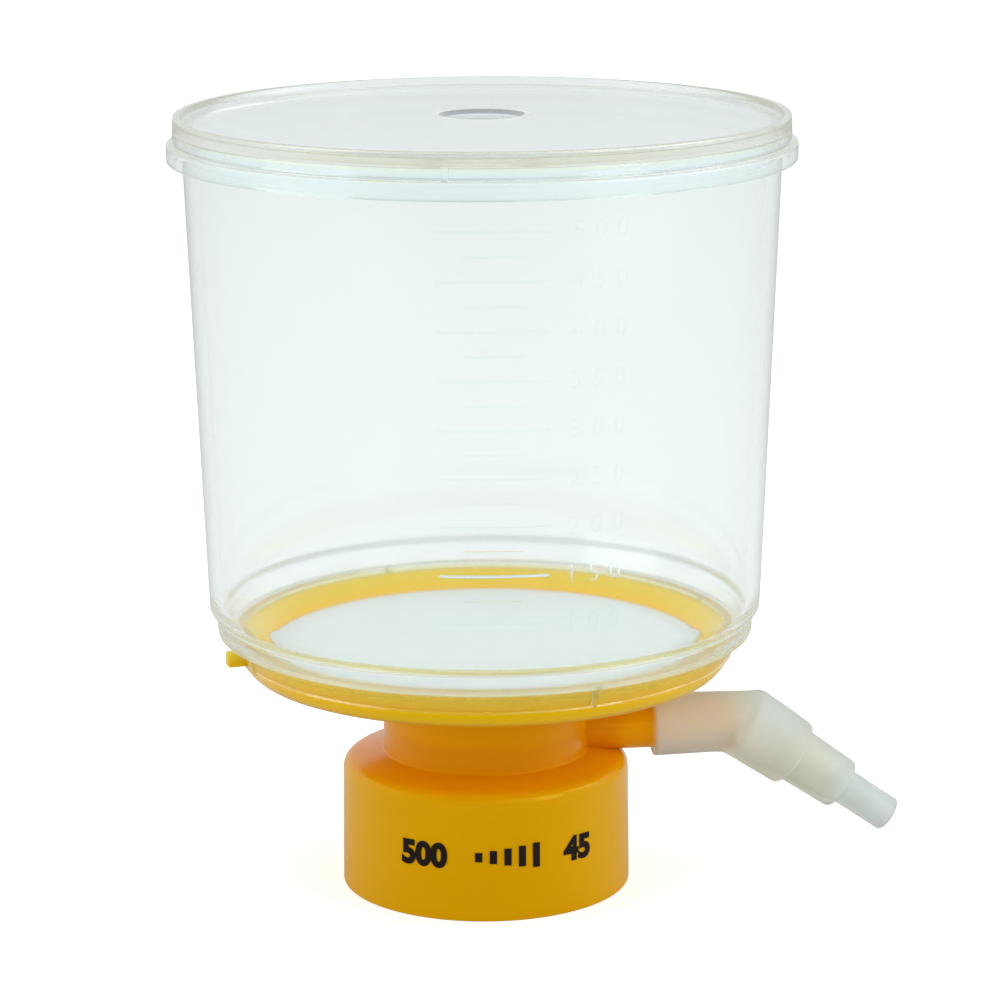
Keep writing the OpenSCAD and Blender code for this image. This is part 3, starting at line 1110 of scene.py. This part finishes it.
@dataclass
class Membrane(Part):
    """The white film that filters, sealed to the dish's seat."""

    press: float = 0.06
    seal_w: float = 1.7
    slope_w: float = 0.7

    def build(self) -> None:
        """Makes the disc."""
        box = Extent.of("membrane")
        low, high, radius = box.low[2] + HAIR, box.high[2], box.high[0]
        disc = [
            Corner(0, low, 0),
            Corner(radius, low, 0.03),
            Corner(radius, high - self.press, 0.04),
            Corner(radius - self.seal_w, high - self.press, 0.3),
            Corner(radius - self.seal_w - self.slope_w, high, 0.3),
            Corner(0, high, 0),
        ]
        self.place(spin("filter_membrane", disc, longest=3.0), Finish.MEMBRANE, ["membrane"])


@dataclass
class Cup(Part):
    """The clear cup: wall, shoulder, band, ledge and skirt, with its scale of volumes."""

    band_r: float = 44.7
    band_top_r: float = 44.85
    foot_r: float = 46.0
    wall: float = 2.0
    band_z: float = 44.2
    step_z: float = 47.6
    shoulder_z: float = 48.6
    ledge_in_r: float = 40.7
    ledge_z: float = 43.8
    ledge_t: float = 0.7
    ledge_lean: float = 0.15
    foot_rise: float = 1.5
    skirt_in_r: float = 41.6
    skirt_t: float = 1.0
    skirt_tuck: float = 1.1
    scale_turn: float = -94.7
    number_turn: float = -74.8
    first_line: float = 56.5
    last_line: float = 118.3
    long_lines: int = 9
    deep_line: int = 1
    first_volume: int = 100
    volume_step: int = 50
    long_line: float = 17.0
    short_line: float = 9.0
    line_w: float = 0.5
    line_out: float = 0.0025
    deep_line_out: float = 0.04
    number_h: float = 3.0
    spread: float = 1.7
    number_out: float = 0.005
    deep_number_out: float = 0.05
    rib_count: int = 4
    rib_turn: float = 18.0
    rib_w: float = 1.1
    rib_out: float = 0.9
    rib_soft: float = 0.4
    rib_root: float = 0.2
    notch: tuple[float, float, float] = (6.0, 2.6, 3.6)
    notch_in: float = 1.0
    notch_rise: float = 0.7
    mouth_gap: float = 0.03
    bead_r: float = 0.2
    bead_in: float = 0.08
    bead_drop: float = 0.12
    bead_sides: int = 12

    def wall_r(self, z: float) -> float:
        """Outside radius of the main wall at a height."""
        box = Extent.of("cup")
        share = (z - self.shoulder_z) / (box.high[2] - self.shoulder_z)
        return self.foot_r + (box.high[0] - self.foot_r) * share

    def line_step(self) -> float:
        """Distance from one long line of the scale to the next."""
        return (self.last_line - self.first_line) / (self.long_lines - 1)

    def section(self) -> list[Corner]:
        """The cup's section, from the ledge's inside round to its top."""
        box = Extent.of("cup")
        skirt, mouth, top_r = box.low[2], box.high[2] - self.mouth_gap, box.high[0]
        inner = self.skirt_in_r - self.skirt_tuck
        return [
            Corner(self.ledge_in_r, self.ledge_z + HAIR, 0.2),
            Corner(self.skirt_in_r, self.ledge_z + HAIR, 0.08),
            Corner(inner, skirt, 0.12),
            Corner(inner + self.skirt_t, skirt, 0.3),
            Corner(self.skirt_in_r + self.skirt_t, self.band_z, 0.25),
            Corner(self.band_r, self.band_z, 0.45),
            Corner(self.band_top_r, self.step_z, 0.75),
            Corner(self.foot_r, self.shoulder_z, 0.12),
            Corner(top_r, mouth, 0.6),
            Corner(top_r - self.wall, mouth, 0.6),
            Corner(self.foot_r - self.wall, self.shoulder_z + self.foot_rise, 1.4),
            Corner(self.band_r - self.wall + self.ledge_lean, self.ledge_z + self.ledge_t, 0.5),
            Corner(self.ledge_in_r, self.ledge_z + self.ledge_t, 0.15),
        ]

    def shell(self) -> bpy.types.Object:
        """The cup with the notch that the base's lug stands in."""
        cup = spin("cup_shell", self.section())
        height = Extent.of("cup").low[2] + self.notch_rise
        place = ray_place(Base.lug_turn, self.skirt_in_r + self.notch_in, height)
        combine(cup, rounded_bar("notch", self.notch, place, 0.0), "DIFFERENCE")
        return cup

    def lines(self, name: str, first: float, count: int, width: float, out: float) -> bpy.types.Object:
        """Raised lines across the wall, one above the other.

        Args:
            name: Name of the new object.
            first: Height of the lowest line, in mm.
            count: How many there are.
            width: Their length round the wall, in mm.
            out: How far they stand out, in mm.

        Returns:
            The new object.
        """
        every = self.line_step()
        foot_r = self.wall_r(first)
        garden = Garden(
            name,
            self.palette[Finish.CLEAR],
            {
                "Count": count,
                "First": first * MM,
                "Every": every * MM,
                "Relief": out * MM,
                "Foot radius": foot_r * MM,
                "Radius gain": (self.wall_r(first + every) - foot_r) * MM,
                "Sweep": width / foot_r,
                "Turn": math.radians(self.scale_turn),
            },
        )
        given = garden.given
        steps = {"Start Location": garden.vector(z=given["First"]), "Offset": garden.vector(z=given["Every"])}
        column = garden.first("GeometryNodeMeshLine", {"Count": given["Count"], **steps})
        start = garden.math("SUBTRACT", given["Turn"], garden.math("MULTIPLY", given["Sweep"], 0.5))
        arc = {"Resolution": 40, "Radius": 1.0, "Start Angle": start, "Sweep Angle": given["Sweep"]}
        index = garden.first("GeometryNodeInputIndex")
        radius = garden.math("MULTIPLY_ADD", index, given["Radius gain"], given["Foot radius"])
        scale = garden.vector(radius, radius, 1.0)
        arcs = garden.spread(column, garden.first("GeometryNodeCurveArc", arc), Scale=scale)
        real = garden.real(arcs)
        profile = garden.first("GeometryNodeCurvePrimitiveCircle", {"Resolution": 16, "Radius": 1.0})
        squeeze = garden.moved(profile, Scale=garden.vector(given["Relief"], self.line_w / 2 * MM, 1.0))
        return garden.grow(garden.level_sweep(real, squeeze))

    def numbers(self) -> list[bpy.types.Object]:
        """The raised volume numbers beside the long lines."""
        made = []
        for i in range(self.long_lines):
            z = self.first_line + self.line_step() * i
            text = str(self.first_volume + self.volume_step * i)
            out = self.deep_number_out if i == self.deep_line else self.number_out
            name, wall, thick = f"number_{text}", self.wall_r(z) + out, 2 * out
            made.append(
                wrapped_text(name, text, self.number_h, 0.0, self.number_turn, z, wall, thick, self.spread)
            )
        return made

    def ribs(self) -> bpy.types.Object:
        """The small upright ribs round the skirt."""
        box = Extent.of("cup")
        garden = Garden(
            "skirt_ribs",
            self.palette[Finish.CLEAR],
            {
                "Count": self.rib_count,
                "Turn": math.radians(self.rib_turn),
                "Radius": (self.skirt_in_r + self.skirt_t - self.rib_root) * MM,
            },
        )
        given = garden.given
        ring = garden.first("GeometryNodeMeshCircle", {"Vertices": given["Count"], "Radius": given["Radius"]})
        turned = garden.moved(ring, Rotation=garden.vector(z=given["Turn"]))
        spot = garden.spot().outputs
        facing = garden.math("ARCTAN2", spot[1], spot[0])
        size = {"Width": self.rib_w * MM, "Height": self.rib_out * MM}
        bar = garden.first("GeometryNodeCurvePrimitiveQuadrilateral", size)
        corners = {"Curve": bar, "Radius": self.rib_soft * MM, "Count": 4}
        soft = garden.first("GeometryNodeFilletCurve", corners, mode="POLY")
        height = self.band_z - box.low[2]
        ends = {"Start": (-self.skirt_tuck * MM, 0.0, 0.0), "End": (0.0, 0.0, height * MM)}
        rib = garden.sweep(garden.first("GeometryNodeCurvePrimitiveLine", ends), soft)
        ribs = garden.spread(turned, rib, Rotation=garden.vector(z=facing))
        return garden.grow(garden.moved(ribs, Translation=(0.0, 0.0, box.low[2] * MM)))

    def weld_bead(self) -> bpy.types.Object:
        """The thin bead that the weld leaves between the skirt's foot and the rim."""
        radius = self.skirt_in_r - self.skirt_tuck + self.skirt_t - self.bead_in
        level = Extent.of("cup").low[2] - self.bead_drop
        turns = [math.tau * i / self.bead_sides for i in range(self.bead_sides)]
        size = self.bead_r
        ring = [Corner(radius + size * math.cos(a), level + size * math.sin(a), 0.0) for a in turns]
        return spin("weld_bead", ring)

    def build(self) -> None:
        """Makes the cup, its scale, its ribs and the weld's bead."""
        self.place(self.shell(), Finish.CLEAR_CUP, ["cup"], Finish.CLEAR)
        step = self.line_step()
        for name, first, count, width, out in (
            ("scale_long", self.first_line, self.long_lines, self.long_line, self.line_out),
            ("scale_short", self.first_line + step / 2, self.long_lines - 1, self.short_line, self.line_out),
            ("scale_deep", self.first_line + step * self.deep_line, 1, self.long_line, self.deep_line_out),
        ):
            self.place(self.lines(name, first, count, width, out), Finish.CLEAR)
        for number in self.numbers():
            self.place(number, Finish.CLEAR)
        self.place(self.ribs(), Finish.CLEAR_CUP, slot=Finish.CLEAR)
        self.place(self.weld_bead(), Finish.CLEAR)


@dataclass
class Lid(Part):
    """The clear lid: plate with a gate well, crest, wall and hem."""

    plate: float = 129.4
    mouth: float = 128.1
    wall_in_r: float = 49.35
    wall_r: float = 50.45
    hem_in_r: float = 50.15
    hem_h: float = 2.9
    hem_step: float = 0.3
    hem_lift: float = 0.15
    crest_r: float = 50.3
    crest_w: float = 1.1
    crest_slope: float = 0.6
    well_r: float = 7.15
    well_depth: float = 1.05
    well_power: int = 8
    bulge_width: float = 1.15
    bulge_share: float = 0.7
    bulge_power: int = 3
    crown: float = 0.8
    crown_r: float = 47.05
    crown_soft: float = 2.9
    well_shares: tuple[float, ...] = (0.2, 0.4, 0.55, 0.65, 0.73, 0.8, 0.86, 0.9, 0.93, 0.955, 0.975, 0.99)
    crown_shares: tuple[float, ...] = (0.25, 0.375, 0.5, 0.625, 0.75, 0.875, 1.0)
    index_turn: float = -103.0
    index_z: float = 127.0
    index_root: float = 0.05
    index_size: tuple[float, float, float] = (0.9, 1.15, 2.8)
    index_soft: float = 0.14

    def crowned(self, level: float, radius: float) -> float:
        """Height of a face of the crowned plate that lies at a level over the cup's lip."""
        return level + self.crown * (1 - (radius / self.crown_r) ** 2)

    def face(self, level: float, radius: float, depth: float, power: int) -> list[Corner]:
        """Corners of a face of the plate, from beside the axis over its dish and out to the crown's edge.

        Args:
            level: Height of the face over the cup's lip.
            radius: The dish's rim.
            depth: The dish's depth.
            power: A higher one gives the dish a flatter bottom.
        """
        rim = self.crowned(level, radius)
        bowl = [Corner(radius * share, rim - depth * (1 - share**power), 0.0) for share in self.well_shares]
        reach = [self.crown_r * share for share in self.crown_shares]
        slope = [Corner(r, self.crowned(level, r), self.crown_soft) for r in reach]
        return [*bowl, Corner(radius, rim, 0.1), *slope]

    def section(self) -> list[Corner]:
        """The lid's section, from the axis under the plate round to the axis over it."""
        box = Extent.of("lid")
        hem, crest, hem_r = box.low[2], box.high[2], box.high[0]
        hem_top = hem + self.hem_h
        bulge_r, bulge = self.well_r * self.bulge_width, self.well_depth * self.bulge_share
        under = self.face(self.mouth, bulge_r, bulge, self.bulge_power)
        over = self.face(self.plate, self.well_r, self.well_depth, self.well_power)
        return [
            Corner(0, self.crowned(self.mouth, bulge_r) - bulge, 0),
            *under,
            Corner(self.wall_in_r, self.mouth, 0.2),
            Corner(self.wall_in_r, hem_top + self.hem_step, 0.3),
            Corner(self.hem_in_r, hem_top - self.hem_step, 0.3),
            Corner(self.hem_in_r, hem, 0.15),
            Corner(hem_r, hem, 0.35),
            Corner(hem_r, hem_top, 0.6),
            Corner(self.wall_r, hem_top + self.hem_lift, 0.2),
            Corner(self.crest_r, crest, 0.7),
            Corner(self.crest_r - self.crest_w, crest, 0.35),
            Corner(self.crest_r - self.crest_w - self.crest_slope, self.plate, 0.3),
            *reversed(over),
            Corner(0, self.crowned(self.plate, self.well_r) - self.well_depth, 0),
        ]

    def build(self) -> None:
        """Makes the lid with its index rib."""
        lid = spin("lid_shell", self.section())
        place = ray_place(self.index_turn, self.wall_r - self.index_root, self.index_z)
        combine(lid, rounded_bar("index", self.index_size, place, self.index_soft), "UNION")
        self.place(lid, Finish.CLEAR_LID, ["lid"], Finish.CLEAR)


@dataclass
class Elbow(Part):
    """The frosted hose connector: sleeve, bend, and an arm of two stages and a tip."""

    body: str = CONNECTOR
    sides: int = 128
    bend_deg: float = 35.0
    bend_x: float = 44.2
    sleeve_end_r: float = 5.1
    arm_root: float = 1.2
    stage1_end: float = 10.7
    stage1_r: float = 5.93
    stage2_r: float = 4.8
    stage2_drop: float = 0.3
    stage2_len: float = 10.3
    tip_r: float = 3.05
    tip_len: float = 10.1
    bore_r: float = 3.95
    wall: float = 1.5
    taper: float = 1.5

    def circle(self, radius: float) -> tuple[np.ndarray, np.ndarray]:
        """Points of a circle: how far up and how far aside each one lies, in mm."""
        turn = np.linspace(0.0, math.tau, self.sides, endpoint=False)
        return radius * np.cos(turn), radius * np.sin(turn)

    def across(self, distance: float, radius: float) -> np.ndarray:
        """A ring square to the arm, at a distance past the bend, in mm."""
        bend = math.radians(self.bend_deg)
        up, side = self.circle(radius)
        x = self.bend_x + distance * math.cos(bend) + up * math.sin(bend)
        z = port_z() - distance * math.sin(bend) + up * math.cos(bend)
        return np.column_stack((x, side, z))

    def slanted(self, distance: float, radius: float) -> np.ndarray:
        """A ring round the sleeve's axis that lies square to the arm, in mm."""
        bend = math.radians(self.bend_deg)
        up, side = self.circle(radius)
        x = self.bend_x + (distance + up * math.sin(bend)) / math.cos(bend)
        return np.column_stack((x, side, port_z() + up))

    def straight(self, x: float, radius: float) -> np.ndarray:
        """A ring square to the sleeve's axis, in mm."""
        up, side = self.circle(radius)
        return np.column_stack((np.full(self.sides, x), side, port_z() + up))

    def build(self) -> None:
        """Makes the connector as one hollow skin."""
        box = Extent.of("hose_connector")
        mouth, arm_r = box.low[0], box.high[1]
        mouth_r = box.high[2] - port_z()
        stage2_end = self.stage1_end + self.stage2_len
        tip_end = stage2_end + self.tip_len
        inner1 = self.stage1_r - self.wall
        inner2 = self.stage2_r - self.stage2_drop - self.wall
        inner3 = self.tip_r - self.wall
        outline = [
            (self.straight(mouth, mouth_r), 0.35),
            (self.slanted(-self.arm_root, self.sleeve_end_r), 0.8),
            (self.across(0.0, arm_r), 0.9),
            (self.across(self.stage1_end, self.stage1_r), 0.9),
            (self.across(self.stage1_end, self.stage2_r), 0.3),
            (self.across(stage2_end, self.stage2_r - self.stage2_drop), 0.9),
            (self.across(stage2_end, self.tip_r), 0.3),
            (self.across(tip_end, self.tip_r), 0.4),
            (self.across(tip_end, inner3), 0.3),
            (self.across(stage2_end - self.wall, inner3), 0.2),
            (self.across(stage2_end - self.wall - self.taper, inner2), 0.2),
            (self.across(self.stage1_end - self.wall, inner2), 0.2),
            (self.across(self.stage1_end - self.wall - self.taper, inner1), 0.2),
            (self.across(0.0, inner1), 0.5),
            (self.slanted(-self.arm_root, self.bore_r), 0.5),
            (self.straight(mouth, self.bore_r), 0.3),
        ]
        rings = round_corners(np.array([ring for ring, _ in outline]), [soft for _, soft in outline], True)
        connector = skin("hose_connector_skin", hold_flats(rings, True, 6.0))
        self.place(connector, Finish.FROSTED, ["hose_connector"])


@dataclass
class Hidden(Part):
    """The sealing ring in the socket and the cotton plug in the port."""

    seal_in_r: float = 15.5
    plug_share: float = 0.8
    plug_dome: float = 0.9
    plug_tip: float = 0.15

    def seal(self) -> bpy.types.Object:
        """The sealing ring."""
        box = Extent.of("bottle_seal")
        inner, outer, low, high = self.seal_in_r, box.high[0], box.low[2], box.high[2] - HAIR
        foot = [Corner(inner, low, 0.3), Corner(outer, low, 0.3)]
        return spin("sealing_ring", [*foot, Corner(outer, high, 0.2), Corner(inner, high, 0.2)])

    def plug(self) -> bpy.types.Object:
        """The cotton plug, with softly domed ends."""
        box = Extent.of("port_plug")
        start, end, radius = box.low[0], box.high[0], box.high[1]
        neck = radius * self.plug_share
        outline = [
            Corner(0, start, 0),
            Corner(neck, start + self.plug_tip, 0.4),
            Corner(radius, start + self.plug_dome, 0.4),
            Corner(radius, end - self.plug_dome, 0.4),
            Corner(neck, end - self.plug_tip, 0.4),
            Corner(0, end, 0),
        ]
        return along_port(spin("cotton_plug", outline, 64, 0.5), port_z())

    def build(self) -> None:
        """Makes both pieces."""
        self.place(self.seal(), Finish.SILICONE, ["bottle_seal"])
        self.place(self.plug(), Finish.COTTON, ["port_plug"])


# ---------------------------------------------------------------- studio


@dataclass
class Studio:
    """Camera, white floor and backdrop, and soft light."""

    distance: float = 592.2
    height: float = 203.6
    slip: float = 2.62
    turn_deg: float = -6.8
    pitch_deg: float = 13.12
    roll_deg: float = -0.265
    lens: float = 131.2
    aim: tuple[float, float, float] = (0.0, 0.0, 0.07)
    floor_size: float = 6.0
    floor_level: float = 0.72
    floor_seen: float = 0.61
    floor_through: float = 0.41
    room_level: float = 0.82
    room_tint: Colour = (0.955, 1.0, 1.0, 1.0)
    front_fade: tuple[float, float, float] = (0.1, 0.75, 0.35)
    top_fade: tuple[float, float, float] = (0.45, 0.9, 0.8)

    def camera(self) -> None:
        """Makes the camera that looks at the unit."""
        data = bpy.data.cameras.new("camera")
        data.lens = self.lens
        data.sensor_width = 36.0
        data.clip_end = 50.0
        eye = new_object("camera", data)
        turn = Matrix.Rotation(math.radians(self.turn_deg), 4, "Z")
        spot = turn @ Vector((self.slip * MM, -self.distance * MM, self.height * MM))
        look = turn @ Matrix.Rotation(math.radians(90 - self.pitch_deg), 4, "X")
        look = look @ Matrix.Rotation(math.radians(self.roll_deg), 4, "Z")
        eye.matrix_world = Matrix.Translation(spot) @ look
        bpy.context.scene.camera = eye

    def floor(self) -> None:
        """Makes the floor, which shows as white and keeps the unit's shadow."""
        half = self.floor_size / 2
        mesh = bpy.data.meshes.new("floor")
        corners = [(-half, -half, 0), (half, -half, 0), (half, half, 0), (-half, half, 0)]
        mesh.from_pydata(corners, [], [(0, 1, 2, 3)])
        floor = new_object("floor", mesh)
        shade = Shade("white_floor")
        paper = shade.first("ShaderNodeBsdfDiffuse", {"Color": (*[self.floor_level] * 3, 1.0)})
        path = shade.add("ShaderNodeLightPath").outputs
        seen = shade.math("MULTIPLY", path["Is Camera Ray"], self.floor_seen)
        lift = shade.math("MULTIPLY_ADD", path["Is Transmission Ray"], self.floor_through, seen)
        glow = shade.first("ShaderNodeEmission", {"Color": WHITE, "Strength": lift})
        mesh.materials.append(shade.finish(shade.first("ShaderNodeAddShader", {0: paper, 1: glow})))

    def world(self) -> None:
        """Lights the scene from all round, less from the camera's side and from overhead."""
        world = bpy.data.worlds.new("studio")
        world.use_nodes = True
        nodes = Nodes(world.node_tree)
        nodes.tree.nodes.clear()
        out = nodes.add("ShaderNodeOutputWorld")
        place = nodes.add("ShaderNodeTexCoord").outputs["Generated"]
        turn = math.radians(self.turn_deg)
        shares = []
        sides = (((math.sin(turn), -math.cos(turn), 0.0), self.front_fade), ((0.0, 0.0, 1.0), self.top_fade))
        for way, (start, end, low) in sides:
            dot = nodes.add("ShaderNodeVectorMath", {0: place, 1: way}, operation="DOT_PRODUCT")
            limits = {"from_min": start, "from_max": end, "to_min": 1.0, "to_max": low}
            shares.append(nodes.ramp(dot.outputs["Value"], "SMOOTHSTEP", **limits))
        level = nodes.math("MULTIPLY", nodes.math("MULTIPLY", *shares), self.room_level)
        room = nodes.first("ShaderNodeBackground", {"Strength": level, "Color": self.room_tint})
        white = nodes.first("ShaderNodeBackground", {"Strength": 1.0, "Color": WHITE})
        seen = nodes.add("ShaderNodeLightPath").outputs["Is Camera Ray"]
        mix = nodes.first("ShaderNodeMixShader", {"Fac": seen, 1: room, 2: white})
        nodes.tree.links.new(mix, out.inputs["Surface"])
        bpy.context.scene.world = world

    def lamp(self, name: str, spot: Sequence[float], size: float, watts: float, shines: bool = True) -> None:
        """Adds a soft lamp that faces the middle of the unit.

        Args:
            name: Its name.
            spot: Where it stands, in metres.
            size: Its side, in metres.
            watts: Its power.
            shines: Whether glossy surfaces mirror it.
        """
        data = bpy.data.lights.new(name, "AREA")
        data.size = size
        data.energy = watts
        lamp = new_object(name, data)
        way = Vector(self.aim) - Vector(spot)
        lamp.rotation_euler = way.to_track_quat("-Z", "Y").to_euler()
        lamp.location = spot
        lamp.visible_glossy = shines

    def build(self) -> None:
        """Makes the camera, the stage and the lights."""
        self.camera()
        self.floor()
        self.world()
        self.lamp("key", (0.85, -0.85, 0.6), 0.6, 3.8)
        self.lamp("fill", (0.3, -0.95, 0.45), 0.45, 0.7)
        self.lamp("left", (-1.1, -0.3, 0.5), 0.9, 5.0, shines=False)
        self.lamp("right", (1.05, -0.1, 0.65), 0.5, 1.6)
        scene = bpy.context.scene
        scene.view_settings.view_transform = "Standard"
        scene.cycles.use_denoising = True
        scene.cycles.max_bounces = 14
        scene.cycles.transmission_bounces = 13
        scene.cycles.glossy_bounces = 12
        scene.cycles.transparent_max_bounces = 16


def main() -> None:
    """Builds the studio and every sub-assembly of the unit."""
    logging.basicConfig(level=logging.INFO, format="%(name)s: %(message)s")
    Studio().build()
    palette = Palette()
    for part in (Base, CollarPrint, Membrane, Cup, Lid, Elbow, Hidden):
        part(palette).build()


if __name__ == "__main__":
    main()
